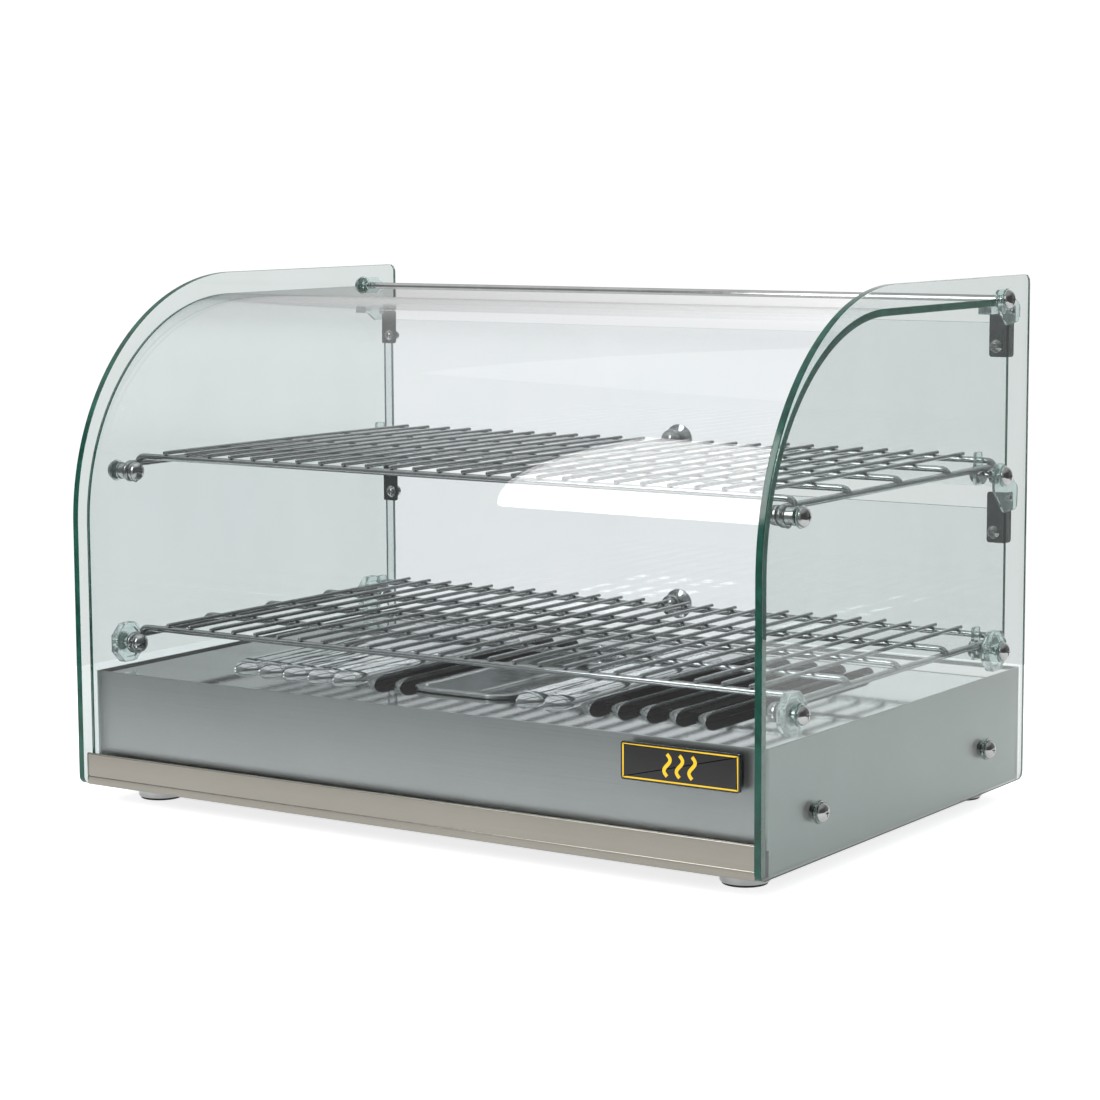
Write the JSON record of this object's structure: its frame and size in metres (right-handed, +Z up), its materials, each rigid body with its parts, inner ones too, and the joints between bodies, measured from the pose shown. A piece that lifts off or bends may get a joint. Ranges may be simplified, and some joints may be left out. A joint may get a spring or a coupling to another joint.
{
  "type": "hot food display case",
  "caption": "Countertop heated food display case: curved glass front, glass sides, hooked wire shelves, louvred steel base with drop-in water tray, and rear flap doors hung on pins.",
  "frame": {"origin": "middle of the bounding box's footprint, on the table that the feet stand on", "axes": "+Z up, -Y the customer side with the curved glass, +Y the side with doors and controls, +X to the right seen from the customer side"},
  "size_m": [0.5652, 0.386, 0.369],
  "materials": {
    "brushed_steel": "satin, brushed lengthwise",
    "bright_steel": "polished",
    "warm_steel": "satin",
    "chrome": "bright plated",
    "clear_glass": "clear with green edges",
    "clear_plastic": "clear acrylic",
    "black_plastic": "fine moulded grain",
    "red_plastic": "translucent red",
    "white_plastic": "moulded insulating plastic",
    "heater_sheath": "dull oxidised sheath",
    "badge_black": "gloss black, blank"
  },
  "bodies": {
    "case": {"badge": "badge_black", "base_deck": "bright_steel", "base_housing": "brushed_steel", "base_screw_front_left": "chrome", "base_screw_front_right": "chrome", "base_screw_rear_left": "chrome", "base_screw_rear_right": "chrome", "bottom_plate": "brushed_steel", "clear_collar_front_left": "clear_plastic", "clear_collar_front_right": "clear_plastic", "clear_collar_rear_left": "clear_plastic", "clear_collar_rear_right": "clear_plastic", "cord_gland": "black_plastic", "element_bracket": "brushed_steel", "foot_front_left": "bright_steel", "foot_front_right": "bright_steel", "foot_rear_left": "bright_steel", "foot_rear_right": "bright_steel", "front_channel": "warm_steel", "front_glass": "clear_glass", "heating_element_left": "heater_sheath", "heating_element_right": "heater_sheath", "indicator_lamp": "red_plastic", "lower_clip_left": "clear_plastic", "lower_clip_right": "clear_plastic", "lower_pivot_bracket_left": "clear_plastic", "lower_pivot_bracket_right": "clear_plastic", "lower_support_front_left": "chrome", "lower_support_front_right": "chrome", "lower_support_rear_left": "chrome", "lower_support_rear_right": "chrome", "side_glass_left": "clear_glass", "side_glass_right": "clear_glass", "switch_body": "black_plastic", "terminal_block": "white_plastic", "thermostat_body": "white_plastic", "tie_rod": "chrome", "tie_rod_screw_left": "chrome", "tie_rod_screw_right": "chrome", "upper_clip_left": "clear_plastic", "upper_clip_right": "clear_plastic", "upper_pivot_bracket_left": "clear_plastic", "upper_pivot_bracket_right": "clear_plastic", "upper_support_front_left": "chrome", "upper_support_front_right": "chrome", "upper_support_rear_left": "chrome", "upper_support_rear_right": "chrome"},
    "upper_flap": {"upper_door": "clear_glass", "upper_door_knob": "chrome", "upper_hinge_bracket_left": "bright_steel", "upper_hinge_bracket_right": "bright_steel"},
    "lower_flap": {"lower_door": "clear_glass", "lower_door_knob": "chrome", "lower_hinge_bracket_left": "bright_steel", "lower_hinge_bracket_right": "bright_steel"},
    "upper_rack": {"upper_shelf": "chrome"},
    "lower_rack": {"lower_shelf": "chrome"},
    "tray": {"water_tray": "bright_steel"},
    "dial": {"thermostat_knob": "black_plastic"},
    "rocker": {"switch_rocker": "red_plastic"}
  },
  "joints": [
    {"name": "upper_door_hinge", "type": "hinge", "parent": "case", "child": "upper_flap", "pos_m": [0, 0.1606, 0.344], "axis": [1, 0, 0], "range_deg": [0, 90]},
    {"name": "lower_door_hinge", "type": "hinge", "parent": "case", "child": "lower_flap", "pos_m": [0, 0.1606, 0.2145], "axis": [1, 0, 0], "range_deg": [0, 90]},
    {"name": "upper_shelf_tilt", "type": "hinge", "parent": "case", "child": "upper_rack", "pos_m": [0, -0.146, 0.2318], "axis": [1, 0, 0], "range_deg": [0, 15]},
    {"name": "lower_shelf_tilt", "type": "hinge", "parent": "case", "child": "lower_rack", "pos_m": [0, -0.146, 0.1095], "axis": [1, 0, 0], "range_deg": [0, 15]},
    {"name": "water_tray_lift", "type": "slide", "parent": "case", "child": "tray", "axis": [0, 0, 1], "range_m": [0, 0.018]},
    {"name": "thermostat_turn", "type": "hinge", "parent": "case", "child": "dial", "pos_m": [-0.12, 0.18, 0.05], "axis": [0, 1, 0], "range_deg": [0, 270]},
    {"name": "power_switch_rock", "type": "hinge", "parent": "case", "child": "rocker", "pos_m": [-0.04, 0.176, 0.05], "axis": [0, 0, 1], "range_deg": [0, 12]}
  ]
}
